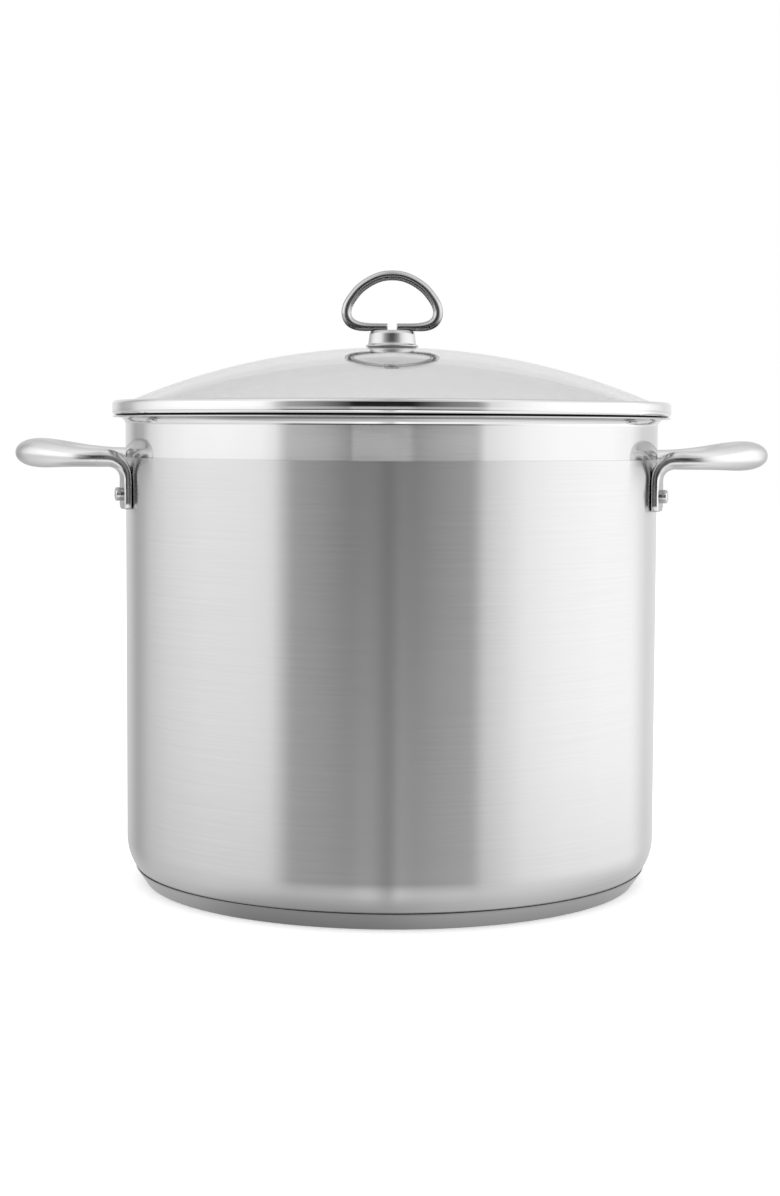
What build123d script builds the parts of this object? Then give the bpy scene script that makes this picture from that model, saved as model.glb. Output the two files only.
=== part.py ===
from build123d import *
import math
import os

# Stockpot with an encapsulated base, riveted side handles and a domed glass
# lid, holding a wire jar rack with two lift handles.
# Millimetres. Origin at the centre of the base underside, +Z up; the side
# handles lie along -X (left) and +X (right).

os.makedirs("parts", exist_ok=True)

UP = (0, 0, 1)


# ---------------------------------------------------------------- helpers
def on_circle(centre, radius, angle):
    """Point of a circle at an angle in degrees."""
    turn = math.radians(angle)
    return (centre[0] + radius * math.cos(turn), centre[1] + radius * math.sin(turn))


def arc_points(centre, radius, *angles):
    return [on_circle(centre, radius, angle) for angle in angles]


def radial_plane(angle, radius, z, x_dir=None):
    """Plane facing outward from the pot axis; its x runs round the pot by default."""
    out_x, out_y = on_circle((0, 0), 1, angle)
    return Plane(
        origin=(radius * out_x, radius * out_y, z),
        x_dir=x_dir or (-out_y, out_x, 0),
        z_dir=(out_x, out_y, 0),
    )


def save(part, name):
    part.label = name
    export_step(part, f"parts/{name}.step")


def mirrored(part):
    """The same piece on the opposite (-X) side."""
    with BuildPart() as copy:
        mirror(part, about=Plane.YZ)
    return copy.part


def repeated(part, count):
    """Copies of a part evenly spaced about the pot axis."""
    with BuildPart() as copies:
        with PolarLocations(0, count):
            add(part)
    return copies.part


def flat_ring(outer_r, hole_r, bottom_z, height, cutters=()):
    with BuildPart() as ring:
        with BuildSketch(Plane.XY.offset(bottom_z)):
            Circle(outer_r)
            Circle(hole_r, mode=Mode.SUBTRACT)
        extrude(amount=height)
        for cutter in cutters:
            add(cutter, mode=Mode.SUBTRACT)
    return ring.part


def dished_sheet(lower, upper):
    """Round sheet between two arcs, each given by three (r, z) points from the hole outward."""
    with BuildPart() as sheet:
        with BuildSketch(Plane.XZ):
            with BuildLine():
                ThreePointArc(*lower)
                Line(lower[-1], upper[-1])
                ThreePointArc(*reversed(upper))
                Line(upper[0], lower[0])
            make_face()
        revolve(axis=Axis.Z)
    return sheet.part


def wire_rings(z, wire_r, *radii):
    with BuildPart() as rings:
        with Locations((0, 0, z)):
            for radius in radii:
                Torus(radius, wire_r)
    return rings.part


def bent_wire(plane, points, bend_r, wire_r):
    """Round wire along a filleted polyline that leaves its first point vertically."""
    start = plane.from_local_coords(Vector(*points[0]))
    with BuildPart() as wire:
        with BuildLine(plane) as path:
            FilletPolyline(*points, radius=bend_r)
        with BuildSketch(Plane.XY.offset(start.Z)):
            with Locations((start.X, start.Y)):
                Circle(wire_r)
        sweep(path=path.line)
    return wire.part


# ---------------------------------------------------------------- pot shell
wall_outer_r = 151.0
wall_t = 1.0
wall_inner_r = wall_outer_r - wall_t
floor_under_z = 5.85
floor_top_z = floor_under_z + wall_t
big_corner_r = 28.0
big_corner = (wall_outer_r - big_corner_r, 26.0)
small_corner_r = 8.0
small_corner = (138.9, floor_under_z + small_corner_r)
corner_join_angle = math.degrees(
    math.atan2(small_corner[1] - big_corner[1], small_corner[0] - big_corner[0])
)
rim_top_z = 264.4
flare_r = 4.0
flare_centre = (wall_outer_r + flare_r, rim_top_z - wall_t - flare_r)
lip_tip_r = 158.1

# Rivet positions, shared by the shell, the handles and the rivets
foot_angle = 16.5
foot_angles = (foot_angle, -foot_angle)
rivet_z = 221.0
rivet_hole_r = 2.6
drill_start_r = 140
shell_drill_depth = 20
handle_drill_depth = 25


def make_pot_body():
    """Flat floor, two-radius lower corner, straight wall and flared lip, with rivet holes."""
    lip_end_r = lip_tip_r - wall_t / 2
    small_mid = (corner_join_angle - 90) / 2
    big_mid = corner_join_angle / 2
    small_inner_r = small_corner_r - wall_t
    big_inner_r = big_corner_r - wall_t
    with BuildPart() as body:
        with BuildSketch(Plane.XZ):
            with BuildLine():
                # outside, from the centre to the lip
                Line((0, floor_under_z), (small_corner[0], floor_under_z))
                ThreePointArc(
                    *arc_points(small_corner, small_corner_r, -90, small_mid, corner_join_angle)
                )
                ThreePointArc(
                    on_circle(small_corner, small_corner_r, corner_join_angle),
                    *arc_points(big_corner, big_corner_r, big_mid, 0),
                )
                Line(on_circle(big_corner, big_corner_r, 0), (wall_outer_r, flare_centre[1]))
                ThreePointArc(*arc_points(flare_centre, flare_r, 180, 135, 90))
                Line(on_circle(flare_centre, flare_r, 90), (lip_end_r, rim_top_z - wall_t))
                ThreePointArc(
                    (lip_end_r, rim_top_z - wall_t),
                    (lip_tip_r, rim_top_z - wall_t / 2),
                    (lip_end_r, rim_top_z),
                )
                # inside, back to the centre
                Line((lip_end_r, rim_top_z), (flare_centre[0], rim_top_z))
                ThreePointArc(*arc_points(flare_centre, flare_r + wall_t, 90, 135, 180))
                Line((wall_inner_r, flare_centre[1]), (wall_inner_r, big_corner[1]))
                ThreePointArc(
                    *arc_points(big_corner, big_inner_r, 0, big_mid),
                    on_circle(small_corner, small_inner_r, corner_join_angle),
                )
                ThreePointArc(
                    *arc_points(small_corner, small_inner_r, corner_join_angle, small_mid, -90)
                )
                Line((small_corner[0], floor_top_z), (0, floor_top_z))
                Line((0, floor_top_z), (0, floor_under_z))
            make_face()
        revolve(axis=Axis.Z)
        for angle in (*foot_angles, 180 - foot_angle, 180 + foot_angle):
            with BuildSketch(radial_plane(angle, drill_start_r, rivet_z, x_dir=UP)):
                Circle(rivet_hole_r)
            extrude(amount=shell_drill_depth, mode=Mode.SUBTRACT)
    return body.part


# ---------------------------------------------------------------- base
base_sheet_t = 0.6
base_core_r = 138.6
cap_flat_r = 139.4
cap_lip_r = 146.3
cap_lip_z = 9.3
cap_bend = (cap_flat_r + 0.9, 0.5)  # (r, z) where the outer bend meets the slanted wall
cap_bend_mid = (cap_flat_r + 0.52, 0.13)
cap_inner_bend_h = 0.35
cap_inner_bend_w = 0.4


def make_base_core():
    """Aluminium heat-spreading disc under the floor."""
    with BuildPart() as core:
        with BuildSketch(Plane.XY.offset(base_sheet_t)):
            Circle(base_core_r)
        extrude(amount=floor_under_z - base_sheet_t)
    return core.part


def make_base_cap():
    """Thin steel cap under the disc: flat underside, small bend and slanted wall."""
    lean = math.atan2(cap_lip_z - cap_bend[1], cap_lip_r - cap_bend[0])
    wall_width = base_sheet_t / math.sin(lean)
    inner_z = base_sheet_t + cap_inner_bend_h
    inner_r = cap_bend[0] + (inner_z - cap_bend[1]) / math.tan(lean) - wall_width
    with BuildPart() as cap:
        with BuildSketch(Plane.XZ):
            with BuildLine():
                Line((0, 0), (cap_flat_r, 0))
                ThreePointArc((cap_flat_r, 0), cap_bend_mid, cap_bend)
                Polyline(
                    cap_bend,
                    (cap_lip_r, cap_lip_z),
                    (cap_lip_r - wall_width, cap_lip_z),
                    (inner_r, inner_z),
                    (inner_r - cap_inner_bend_w, base_sheet_t),
                    (0, base_sheet_t),
                    (0, 0),
                )
            make_face()
        revolve(axis=Axis.Z)
    return cap.part


# ---------------------------------------------------------------- side handles
foot_t = 4.2
foot_w = 18.4
foot_corner_r = 4.0
foot_bottom_z = 212.6
foot_top_z = 232.0
foot_half_depth = 8  # pad blank either side of the wall, before trimming
foot_trim_z, foot_trim_h = 200, 60
wall_trim_z, wall_trim_h = 190, 80
foot_mid_r = wall_outer_r + foot_t / 2

arm_start_z = 223.0
arm_start_w, arm_start_h = 13.0, 3.6
arm_z = 240.9
arm_bend_r = 11.0
arm_reach = 21  # from the bend to the next control point of the grip curve
grip_rise = 2.4
grip_center_x = 201.0
grip_control_y = 27.0

# Elliptical sections round the outward bend: angle from vertical (deg), width, height
bend_sections = (
    (0, 16.4, 4.3),
    (22, 15.9, 5.7),
    (45, 15.4, 7.4),
    (68, 14.8, 9.0),
    (90, 14.0, 9.8),
)
# Sections from the bend to the grip centre: curve parameter, width, height
grip_sections = (
    (0.16, 13.0, 10.4),
    (0.32, 12.6, 11.4),
    (0.46, 13.4, 12.7),
    (0.60, 16.4, 14.5),
    (0.74, 20.8, 15.6),
    (0.88, 25.8, 16.2),
    (1.0, 27.8, 16.4),
)


def bezier(controls, u):
    """Point on a cubic Bezier at u, along one axis."""
    start, leave, arrive, end = controls
    v = 1 - u
    return v**3 * start + 3 * u * v**2 * leave + 3 * u * u * v * arrive + u**3 * end


def bezier_slope(controls, u):
    start, leave, arrive, end = controls
    v = 1 - u
    return 3 * v**2 * (leave - start) + 6 * u * v * (arrive - leave) + 3 * u * u * (end - arrive)


def handle_stations():
    """Loft stations from foot to foot: (point, tangent, level heading, width, height)."""
    out_x, out_y = on_circle((0, 0), 1, foot_angle)
    bend_centre_r = foot_mid_r + arm_bend_r
    bend_centre_z = arm_z - arm_bend_r

    start = (foot_mid_r * out_x, foot_mid_r * out_y, arm_start_z)
    half = [(start, UP, (out_x, out_y), arm_start_w, arm_start_h)]
    for angle, width, height in bend_sections:
        sine, cosine = math.sin(math.radians(angle)), math.cos(math.radians(angle))
        radius = bend_centre_r - arm_bend_r * cosine
        point = (radius * out_x, radius * out_y, bend_centre_z + arm_bend_r * sine)
        tangent = (sine * out_x, sine * out_y, cosine)
        half.append((point, tangent, (out_x, out_y), width, height))

    bend_end_x, bend_end_y = bend_centre_r * out_x, bend_centre_r * out_y
    controls_x = (bend_end_x, bend_end_x + arm_reach * out_x, grip_center_x, grip_center_x)
    controls_y = (bend_end_y, bend_end_y + arm_reach * out_y, grip_control_y, 0.0)
    for u, width, height in grip_sections:
        slope_x, slope_y = bezier_slope(controls_x, u), bezier_slope(controls_y, u)
        length = math.hypot(slope_x, slope_y)
        heading = (slope_x / length, slope_y / length)
        rise = grip_rise * u * u * (3 - 2 * u)
        point = (bezier(controls_x, u), bezier(controls_y, u), arm_z + rise)
        half.append((point, (*heading, 0), heading, width, height))

    # the other half is mirrored in Y and travelled backwards
    other_half = [
        ((x, -y, z), (-along_x, along_y, -along_z), (-level_x, level_y), width, height)
        for (x, y, z), (along_x, along_y, along_z), (level_x, level_y), width, height
        in reversed(half[:-1])
    ]
    return half + other_half


def make_foot_pad(angle):
    """Rounded pad whose outer face follows the pot wall."""
    pad_plane = radial_plane(angle, wall_outer_r, (foot_bottom_z + foot_top_z) / 2)
    with BuildPart() as pad:
        with BuildSketch(pad_plane):
            RectangleRounded(foot_w, foot_top_z - foot_bottom_z, foot_corner_r)
        extrude(amount=foot_half_depth, both=True)
        with BuildSketch(Plane.XY.offset(foot_trim_z)):
            Circle(wall_outer_r + foot_t)
        extrude(amount=foot_trim_h, mode=Mode.INTERSECT)
    return pad.part


def make_side_handle():
    """Cast D-loop: riveted feet, outward bends, slim necks and a thick oval grip."""
    pads = [make_foot_pad(angle) for angle in foot_angles]
    with BuildPart() as handle:
        for point, tangent, (level_x, level_y), width, height in handle_stations():
            with BuildSketch(Plane(origin=point, x_dir=(-level_y, level_x, 0), z_dir=tangent)):
                Ellipse(width / 2, height / 2)
        loft()
        for pad in pads:
            add(pad)
        # clear everything inside the pot's outer wall surface
        with BuildSketch(Plane.XY.offset(wall_trim_z)):
            Circle(wall_outer_r)
        extrude(amount=wall_trim_h, mode=Mode.SUBTRACT)
        for angle in foot_angles:
            with BuildSketch(radial_plane(angle, drill_start_r, rivet_z, x_dir=UP)):
                Circle(rivet_hole_r)
            extrude(amount=handle_drill_depth, mode=Mode.SUBTRACT)
    return handle.part


# ---------------------------------------------------------------- rivets
rivet_shaft_r = 2.5
rivet_head_r = 3.8
rivet_head_h = 3.2
rivet_head_side = 1.8
rivet_inner_r = 5.0
rivet_inner_h = 1.3
rivet_inner_side = 0.5
rivet_inner_bevel = 0.6
rivet_inner_gap = 0.01


def make_rivet():
    """Button head, shank and flat inner head, along Z measured from the pot axis."""
    dome_h = rivet_head_h - rivet_head_side
    dome_r = (rivet_head_r**2 + dome_h**2) / (2 * dome_h)
    outer_z = wall_outer_r + foot_t
    tip_z = outer_z + rivet_head_h
    inner_z = math.sqrt(wall_inner_r**2 - rivet_inner_r**2) - rivet_inner_gap
    dome_start = (rivet_head_r, outer_z + rivet_head_side)
    with BuildPart() as rivet:
        with BuildSketch(Plane.XZ):
            with BuildLine():
                Polyline(
                    (0, inner_z - rivet_inner_h),
                    (rivet_inner_r - rivet_inner_bevel, inner_z - rivet_inner_h),
                    (rivet_inner_r, inner_z - rivet_inner_side),
                    (rivet_inner_r, inner_z),
                    (rivet_shaft_r, inner_z),
                    (rivet_shaft_r, outer_z),
                    (rivet_head_r, outer_z),
                    dome_start,
                )
                ThreePointArc(dome_start, on_circle((0, tip_z - dome_r), dome_r, 75), (0, tip_z))
                Line((0, tip_z), (0, inner_z - rivet_inner_h))
            make_face()
        revolve(axis=Axis.Z)
    return rivet.part


def make_rivet_pair():
    rivet = make_rivet()
    with BuildPart() as pair:
        for angle in foot_angles:
            with Locations(radial_plane(angle, 0, rivet_z).location):
                add(rivet)
    return pair.part


# ---------------------------------------------------------------- glass lid
glass_outer_sphere_r = 372.0
glass_t = 4.0
glass_inner_sphere_r = glass_outer_sphere_r - glass_t
glass_apex_z = 303.6
glass_centre_z = glass_apex_z - glass_outer_sphere_r
glass_hole_r = 4.5
glass_mid_r = 80
glass_edge_r = 154.0

band_outer_r = 158.4
band_inner_r = 150.4
band_top_z = 272.9
band_bottom_z = 264.5
band_t = 0.6
band_top_bend_r = 2.4
band_bottom_bend_r = 3.2
band_top_inner_bend_r = band_top_bend_r - band_t
band_bottom_inner_bend_r = band_bottom_bend_r - band_t
band_top_bend = (band_outer_r - band_top_bend_r, band_top_z - band_top_bend_r)
band_bottom_bend = (band_outer_r - band_bottom_bend_r, band_bottom_z + band_bottom_bend_r)
skirt_outer_r = 148.6
skirt_inner_r = skirt_outer_r - band_t
skirt_bottom_z = 258.6
skirt_top_z = 266.8
skirt_bend_r = 1
bedding_step_z = 270.0  # underside of the bedding


def glass_arc(sphere_r):
    return [
        (r, glass_centre_z + math.sqrt(sphere_r**2 - r**2))
        for r in (glass_hole_r, glass_mid_r, glass_edge_r)
    ]


def make_lid_rim_band():
    """Folded steel channel round the glass, with a short skirt inside the pot mouth."""
    skirt_bend = (skirt_outer_r + skirt_bend_r, band_bottom_z - skirt_bend_r)
    skirt_bend_start = (skirt_bend[0], band_bottom_z)
    skirt_bend_end = (skirt_outer_r, skirt_bend[1])
    skirt_edge_z = skirt_bottom_z + band_t / 2
    channel_top_z = band_top_z - band_t
    channel_floor_z = band_bottom_z + band_t
    with BuildPart() as band:
        with BuildSketch(Plane.XZ):
            with BuildLine():
                # outside of the channel
                Line((band_inner_r, band_top_z), (band_top_bend[0], band_top_z))
                ThreePointArc(*arc_points(band_top_bend, band_top_bend_r, 90, 45, 0))
                Line(
                    on_circle(band_top_bend, band_top_bend_r, 0),
                    on_circle(band_bottom_bend, band_bottom_bend_r, 0),
                )
                ThreePointArc(*arc_points(band_bottom_bend, band_bottom_bend_r, 0, -45, -90))
                Line((band_bottom_bend[0], band_bottom_z), skirt_bend_start)
                # skirt with a rounded lower edge
                ThreePointArc(
                    skirt_bend_start, on_circle(skirt_bend, skirt_bend_r, 135), skirt_bend_end
                )
                Line(skirt_bend_end, (skirt_outer_r, skirt_edge_z))
                ThreePointArc(
                    (skirt_outer_r, skirt_edge_z),
                    (skirt_outer_r - band_t / 2, skirt_bottom_z),
                    (skirt_inner_r, skirt_edge_z),
                )
                # up the skirt and back round the inside of the channel
                Polyline(
                    (skirt_inner_r, skirt_edge_z),
                    (skirt_inner_r, skirt_top_z),
                    (skirt_outer_r, skirt_top_z),
                    (skirt_outer_r, channel_floor_z),
                    (band_bottom_bend[0], channel_floor_z),
                )
                ThreePointArc(*arc_points(band_bottom_bend, band_bottom_inner_bend_r, -90, -45, 0))
                Line(
                    on_circle(band_bottom_bend, band_bottom_inner_bend_r, 0),
                    on_circle(band_top_bend, band_top_inner_bend_r, 0),
                )
                ThreePointArc(*arc_points(band_top_bend, band_top_inner_bend_r, 0, 45, 90))
                Polyline(
                    (band_top_bend[0], channel_top_z),
                    (band_inner_r, channel_top_z),
                    (band_inner_r, band_top_z),
                )
            make_face()
        revolve(axis=Axis.Z)
    return band.part


def make_lid_rim_bedding(glass):
    """Silicone that fills the channel round the glass edge."""
    channel_top_z = band_top_z - band_t
    channel_floor_z = band_bottom_z + band_t
    with BuildPart() as bedding:
        with BuildSketch(Plane.XZ):
            with BuildLine():
                Line((band_inner_r, channel_top_z), (band_top_bend[0], channel_top_z))
                ThreePointArc(*arc_points(band_top_bend, band_top_inner_bend_r, 90, 45, 0))
                Line(
                    on_circle(band_top_bend, band_top_inner_bend_r, 0),
                    on_circle(band_bottom_bend, band_bottom_inner_bend_r, 0),
                )
                ThreePointArc(*arc_points(band_bottom_bend, band_bottom_inner_bend_r, 0, -45, -90))
                Polyline(
                    (band_bottom_bend[0], channel_floor_z),
                    (skirt_outer_r, channel_floor_z),
                    (skirt_outer_r, bedding_step_z),
                    (band_inner_r, bedding_step_z),
                    (band_inner_r, channel_top_z),
                )
            make_face()
        revolve(axis=Axis.Z)
        add(glass, mode=Mode.SUBTRACT)
    return bedding.part


# ---------------------------------------------------------------- knob
rod_r = 2.85
loop_bar_z = 315.6
loop_gap = 5.2
loop_top_z = 344.5
# Rod centreline from one end of the gap to just short of the top: x, z
loop_half = [
    (loop_gap / 2, loop_bar_z),
    (10.0, loop_bar_z),
    (16.0, loop_bar_z + 0.05),
    (20.6, loop_bar_z + 0.7),
    (24.4, 318.6),
    (26.05, 322.9),
    (25.2, 327.7),
    (22.4, 332.4),
    (18.9, 336.6),
    (15.0, 339.7),
    (10.4, 342.3),
    (5.4, 344.0),
]

post_bottom_z = 304.0
post_top_z = 313.4
post_flange_r = 14.9
post_flange_h = 1.2
post_flange_round = 0.3
post_waist_r = 13.0
post_shoulder = 2.6
post_socket_depth = 7.5
cradle_length = 40
cradle_clearance = 0.02

screw_r = 2.0
screw_reach = 6.8  # above the post underside
screw_thread_clearance = 0.05
screw_head_r = 4.6
screw_head_h = 2.6
screw_head_round = 1.2
screw_slot_l, screw_slot_w, screw_slot_depth = 5.0, 1.0, 1.6
gasket_hole_r = screw_r + 0.3
washer_hole_r = screw_r + 0.2

upper_gasket_r = 13.5
upper_gasket_z = 303.0
bush_r = glass_hole_r - 0.1
bush_bottom_z = 299.3

cup_r = 26.3
cup_mid_r = 13
cup_bottom_z = 295.5
cup_t = 0.8
cup_sphere_r = 174.0
seal_inner_r = 24.6
seal_outer_r = 26.2
seal_blank_top_z = 300.0

washer_r = 5.2
washer_t = 0.8
washer_bottom_z = cup_bottom_z - 0.85
screw_head_top_z = cup_bottom_z - 0.87


def make_knob_loop():
    """Bent rod loop whose ends turn in and face each other over the post."""
    with BuildPart() as loop:
        with BuildLine(Plane.XZ) as path:
            Spline(*loop_half, (0, loop_top_z), *[(-x, z) for x, z in reversed(loop_half)])
        with BuildSketch(Plane(origin=(loop_gap / 2, 0, loop_bar_z), z_dir=(1, 0, 0))):
            Circle(rod_r)
        sweep(path=path.line)
    return loop.part


def make_knob_post():
    """Turned post: thin flange, waisted drum, cradle for the rod ends and screw hole."""
    flange_edge_r = post_flange_r - post_flange_round
    flange_top_z = post_bottom_z + post_flange_h
    waist_top = (post_waist_r, post_top_z - post_shoulder)
    with BuildPart() as post:
        with BuildSketch(Plane.XZ):
            with BuildLine():
                Line((0, post_bottom_z), (flange_edge_r, post_bottom_z))
                ThreePointArc(
                    (flange_edge_r, post_bottom_z),
                    (post_flange_r, post_bottom_z + post_flange_h / 2),
                    (flange_edge_r, flange_top_z),
                )
                Spline(
                    (flange_edge_r, flange_top_z),
                    (14.0, post_bottom_z + 1.5),
                    (13.55, post_bottom_z + 2.7),
                    waist_top,
                    tangents=[(-1, 0.05), (-0.1, 1)],
                )
                ThreePointArc(
                    waist_top,
                    (post_waist_r - 0.75, post_top_z - 0.8),
                    (post_waist_r - post_shoulder, post_top_z),
                )
                Polyline(
                    (post_waist_r - post_shoulder, post_top_z),
                    (0, post_top_z),
                    (0, post_bottom_z),
                )
            make_face()
        revolve(axis=Axis.Z)
        with BuildSketch(Plane(origin=(-cradle_length / 2, 0, loop_bar_z), z_dir=(1, 0, 0))):
            Circle(rod_r + cradle_clearance)
        extrude(amount=cradle_length, mode=Mode.SUBTRACT)
        with BuildSketch(Plane.XY.offset(post_bottom_z)):
            Circle(screw_r + screw_thread_clearance)
        extrude(amount=post_socket_depth, mode=Mode.SUBTRACT)
    return post.part


def dish_z(sphere_r, r):
    """Height at radius r of a dish sphere centred above the cup."""
    return cup_bottom_z + cup_sphere_r - math.sqrt(sphere_r**2 - r**2)


def cup_arc(sphere_r):
    return [(r, dish_z(sphere_r, r)) for r in (gasket_hole_r, cup_mid_r, cup_r)]


def make_knob_lower_gasket(glass, cup):
    """Soft ring between the cup rim and the underside of the glass."""
    mid_sphere_r = cup_sphere_r - cup_t / 2
    with BuildPart() as gasket:
        with BuildSketch(Plane.XZ):
            with BuildLine():
                Polyline(
                    (seal_inner_r, dish_z(mid_sphere_r, seal_inner_r)),
                    (seal_outer_r, dish_z(mid_sphere_r, seal_outer_r)),
                    (seal_outer_r, seal_blank_top_z),
                    (seal_inner_r, seal_blank_top_z),
                    close=True,
                )
            make_face()
        revolve(axis=Axis.Z)
        add(glass, mode=Mode.SUBTRACT)
        add(cup, mode=Mode.SUBTRACT)
    return gasket.part


def make_knob_screw():
    """Pan-head screw, head down, with a cross slot."""
    head_bottom_z = screw_head_top_z - screw_head_h
    with BuildPart() as screw:
        with BuildSketch(Plane.XY.offset(screw_head_top_z)):
            Circle(screw_r)
        extrude(amount=post_bottom_z + screw_reach - screw_head_top_z)
        with BuildSketch(Plane.XY.offset(head_bottom_z)):
            Circle(screw_head_r)
        extrude(amount=screw_head_h)
        lowest_edge = screw.edges().filter_by(GeomType.CIRCLE).sort_by(Axis.Z)[0]
        fillet(lowest_edge, screw_head_round)
        with BuildSketch(Plane.XY.offset(head_bottom_z)):
            Rectangle(screw_slot_l, screw_slot_w)
            Rectangle(screw_slot_w, screw_slot_l)
        extrude(amount=screw_slot_depth, mode=Mode.SUBTRACT)
    return screw.part


# ---------------------------------------------------------------- jar rack
rack_gap = 0.02  # left between wires that rest on each other
rack_wire_r = 2.0
rack_ring_z = 20.0
outer_ring_r = 138.0
outer_ring_wire_r = 2.5
outer_ring_z = rack_ring_z - (outer_ring_wire_r - rack_wire_r)
mid_ring_r = 100.0
inner_ring_r = 60.0
hub_ring_r = 20.0

spoke_count = 12
spoke_z = rack_ring_z + 2 * rack_wire_r + rack_gap
spoke_overrun = 1.0  # inward past the hub ring centreline

divider_count = 6
divider_wire_r = 1.5
divider_inner_r = 54.0
divider_outer_r = 126.0
divider_foot_z = spoke_z + rack_wire_r + rack_gap
divider_top_z = 110.0
divider_bend_r = 12
center_ring_r = divider_inner_r - 2 * divider_wire_r - rack_gap
center_ring_z = 76.0

upright_x = 134.0
upright_half_w = 30.0
upright_wire_r = 2.0
upright_foot_z = rack_ring_z + rack_wire_r + rack_gap
upright_bend_r = 5
pivot_z = 122.0

lift_wire_r = 1.8
lift_half_w = 23.0
lift_eye_r = 4.3
lift_top_z = 238.0
lift_bend_r = 12

rack_foot_count = 6
rack_foot_wire_r = 2.0
rack_foot_top_z = rack_ring_z - rack_wire_r - rack_gap
rack_foot_outer_top_z = rack_foot_top_z - 1.03
rack_foot_low_z = floor_top_z + 0.05 + rack_foot_wire_r
rack_foot_bend_r = 3


def make_rack_spokes():
    length = outer_ring_r - hub_ring_r + spoke_overrun
    with BuildPart() as spokes:
        with Locations((0, 0, spoke_z)):
            with PolarLocations(hub_ring_r + length / 2 - spoke_overrun, spoke_count):
                Cylinder(rack_wire_r, length, rotation=(0, 90, 0))
    return spokes.part


def make_rack_dividers():
    """Inverted-U wires between neighbouring outer jars."""
    outline = (
        (divider_inner_r, divider_foot_z),
        (divider_inner_r, divider_top_z),
        (divider_outer_r, divider_top_z),
        (divider_outer_r, divider_foot_z),
    )
    divider = bent_wire(Plane.XZ, outline, divider_bend_r, divider_wire_r)
    return repeated(divider, divider_count)


def make_rack_uprights():
    """Frames at both sides that carry the swinging lift handles."""
    outline = (
        (-upright_half_w, upright_foot_z),
        (-upright_half_w, pivot_z),
        (upright_half_w, pivot_z),
        (upright_half_w, upright_foot_z),
    )
    upright = bent_wire(Plane.YZ.offset(upright_x), outline, upright_bend_r, upright_wire_r)
    return repeated(upright, 2)


def make_rack_feet():
    """U-shaped wire feet that keep the jars off the pot floor."""
    outline = (
        (mid_ring_r, rack_foot_top_z),
        (mid_ring_r, rack_foot_low_z),
        (outer_ring_r, rack_foot_low_z),
        (outer_ring_r, rack_foot_outer_top_z),
    )
    foot = bent_wire(Plane.XZ, outline, rack_foot_bend_r, rack_foot_wire_r)
    return repeated(foot, rack_foot_count)


def make_rack_handle():
    """Wire bail whose two eyes turn on the top bar of its upright."""
    eye_top_z = pivot_z + lift_eye_r
    bar_z = lift_top_z - lift_wire_r
    outline = (
        (-lift_half_w, eye_top_z),
        (-lift_half_w, bar_z),
        (lift_half_w, bar_z),
        (lift_half_w, eye_top_z),
    )
    bail = bent_wire(Plane.YZ.offset(upright_x), outline, lift_bend_r, lift_wire_r)
    with BuildPart() as handle:
        add(bail)
        with Locations((upright_x, -lift_half_w, pivot_z), (upright_x, lift_half_w, pivot_z)):
            Torus(lift_eye_r, lift_wire_r, rotation=(90, 0, 0))
    return handle.part


# ---------------------------------------------------------------- build and export
save(make_pot_body(), "pot_body")
save(make_base_core(), "base_core")
save(make_base_cap(), "base_cap")

# Pieces made on the right (+X) and mirrored to the left
for name, make_piece in (
    ("side_handle", make_side_handle),
    ("rivets", make_rivet_pair),
    ("rack_handle", make_rack_handle),
):
    right_piece = make_piece()
    save(right_piece, f"{name}_right")
    save(mirrored(right_piece), f"{name}_left")

lid_glass = dished_sheet(glass_arc(glass_inner_sphere_r), glass_arc(glass_outer_sphere_r))
save(lid_glass, "lid_glass")
save(make_lid_rim_band(), "lid_rim_band")
save(make_lid_rim_bedding(lid_glass), "lid_rim_bedding")

save(make_knob_loop(), "knob_loop")
save(make_knob_post(), "knob_post")
# Seal between post flange and glass
upper_gasket_h = post_bottom_z - upper_gasket_z
save(
    flat_ring(upper_gasket_r, gasket_hole_r, upper_gasket_z, upper_gasket_h, [lid_glass]),
    "knob_upper_gasket",
)
# Sleeve that keeps the screw off the glass
bush_h = upper_gasket_z - bush_bottom_z
save(flat_ring(bush_r, washer_hole_r, bush_bottom_z, bush_h), "knob_bush")
# Dished steel cup clamped under the glass
lower_cup = dished_sheet(cup_arc(cup_sphere_r), cup_arc(cup_sphere_r - cup_t))
save(lower_cup, "knob_lower_cup")
save(make_knob_lower_gasket(lid_glass, lower_cup), "knob_lower_gasket")
save(flat_ring(washer_r, washer_hole_r, washer_bottom_z, washer_t), "knob_washer")
save(make_knob_screw(), "knob_screw")

save(wire_rings(outer_ring_z, outer_ring_wire_r, outer_ring_r), "rack_base_ring")
save(
    wire_rings(rack_ring_z, rack_wire_r, mid_ring_r, inner_ring_r, hub_ring_r),
    "rack_inner_rings",
)
save(make_rack_spokes(), "rack_spokes")
save(make_rack_dividers(), "rack_dividers")
save(wire_rings(center_ring_z, divider_wire_r, center_ring_r), "rack_center_ring")
save(make_rack_uprights(), "rack_uprights")
save(make_rack_feet(), "rack_feet")
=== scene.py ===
"""Steel pot with two cast side handles, a domed glass lid with a loop knob, and a wire jar rack.

The pot stands at z = 0 on the Z axis with its handles toward +X and -X. The camera is on the
-Y side and looks toward +Y. Lengths are in millimetres unless a comment says metres.
"""

import bpy
import bmesh
import math
import numpy as np
from itertools import accumulate
from mathutils import Matrix, Vector


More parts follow.
